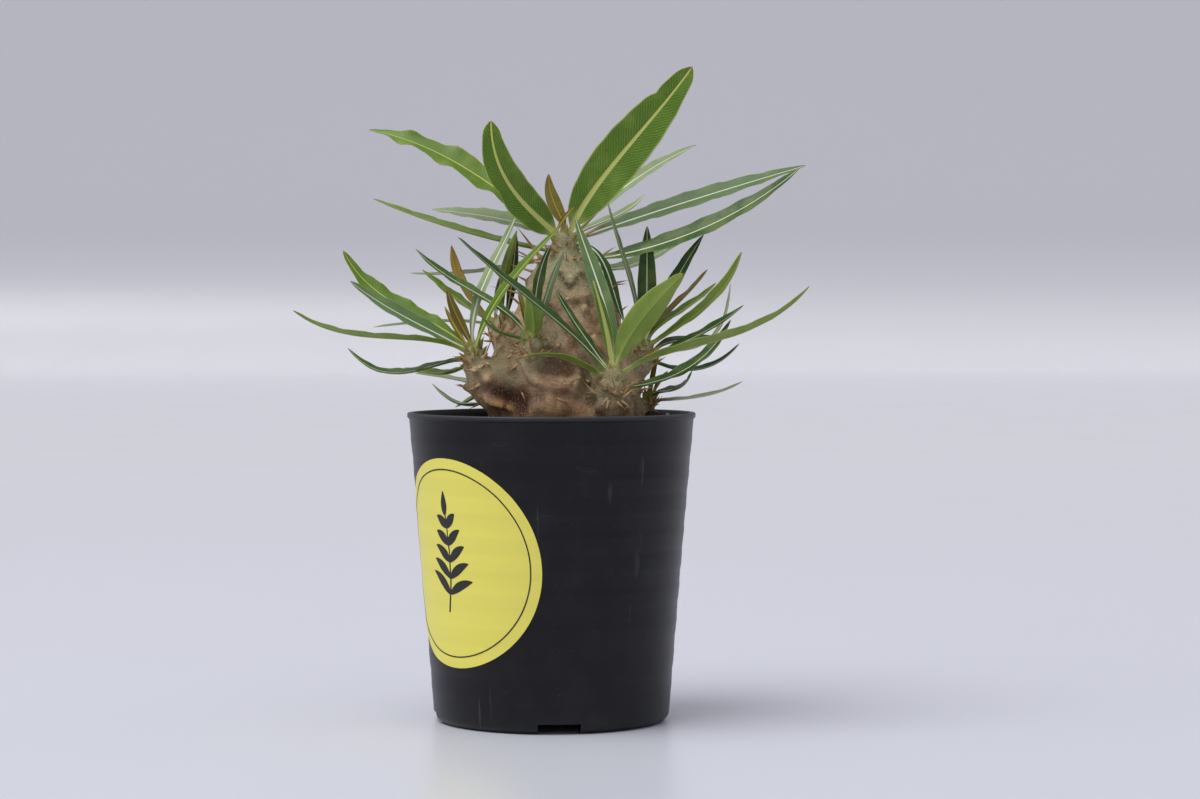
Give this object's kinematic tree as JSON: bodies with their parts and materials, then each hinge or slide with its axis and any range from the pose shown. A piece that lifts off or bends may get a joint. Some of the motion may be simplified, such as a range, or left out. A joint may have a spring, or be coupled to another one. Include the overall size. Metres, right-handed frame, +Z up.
{
  "type": "potted succulent plant",
  "caption": "Potted pachypodium: a swollen, branching, spiny caudex with rosettes of narrow leaves, in gritty soil in a round black nursery pot with a yellow label.",
  "frame": {"origin": "on the pot's axis, on the flat underside that the pot stands on", "axes": "+Z up along the pot's axis; -Y is the side that the picture shows; +X is to the viewer's right"},
  "size_m": [0.158, 0.091, 0.203],
  "materials": {
    "pot_plastic": "thin injection-moulded black plastic, satin and dusty",
    "label_paper": "yellow coated paper, satin",
    "soil": "dark gritty soil with white grains",
    "bark": "beige-brown smooth bark, speckled",
    "leaf_fresh": "bright green leaf with a pale midrib, satin",
    "leaf_dark": "dark green leaf with a white midrib, satin",
    "leaf_pale": "grey-green leaf, matte",
    "leaf_bronze": "young bronze leaf, satin"
  },
  "bodies": {
    "root": {"pot": "pot_plastic", "label": "label_paper", "soil": "soil", "caudex": "bark", "leaf_top_01": "leaf_fresh", "leaf_top_02": "leaf_fresh", "leaf_top_03": "leaf_dark", "leaf_top_04": "leaf_bronze", "leaf_top_05": "leaf_fresh", "leaf_top_06": "leaf_pale", "leaf_top_07": "leaf_dark", "leaf_top_08": "leaf_dark", "leaf_top_09": "leaf_pale", "leaf_top_10": "leaf_pale", "leaf_top_11": "leaf_dark", "leaf_top_12": "leaf_pale", "leaf_top_13": "leaf_pale", "leaf_left_01": "leaf_dark", "leaf_left_02": "leaf_pale", "leaf_left_03": "leaf_fresh", "leaf_left_04": "leaf_dark", "leaf_left_05": "leaf_fresh", "leaf_left_06": "leaf_fresh", "leaf_left_07": "leaf_bronze", "leaf_left_08": "leaf_pale", "leaf_front_01": "leaf_dark", "leaf_front_02": "leaf_pale", "leaf_front_03": "leaf_dark", "leaf_front_04": "leaf_bronze", "leaf_front_05": "leaf_dark", "leaf_front_06": "leaf_pale", "leaf_right_01": "leaf_fresh", "leaf_right_02": "leaf_pale", "leaf_right_03": "leaf_dark", "leaf_right_04": "leaf_fresh", "leaf_right_05": "leaf_pale", "leaf_right_06": "leaf_fresh", "leaf_right_07": "leaf_fresh", "leaf_right_08": "leaf_dark", "leaf_rear_right_01": "leaf_dark", "leaf_rear_right_02": "leaf_dark", "leaf_rear_right_03": "leaf_fresh", "leaf_rear_right_04": "leaf_bronze", "leaf_rear_right_05": "leaf_fresh", "leaf_rear_right_06": "leaf_dark", "leaf_rear_right_07": "leaf_dark", "leaf_rear_right_08": "leaf_dark", "leaf_rear_right_09": "leaf_pale", "leaf_rear_right_10": "leaf_dark", "leaf_low_right_01": "leaf_bronze", "leaf_low_right_02": "leaf_dark", "leaf_low_right_03": "leaf_pale", "leaf_rear_left_01": "leaf_fresh", "leaf_rear_left_02": "leaf_dark", "leaf_rear_left_03": "leaf_bronze", "leaf_rear_left_04": "leaf_fresh", "leaf_rear_left_05": "leaf_pale", "leaf_low_left_01": "leaf_pale", "leaf_low_left_02": "leaf_fresh", "leaf_low_left_03": "leaf_pale"}
  },
  "joints": []
}
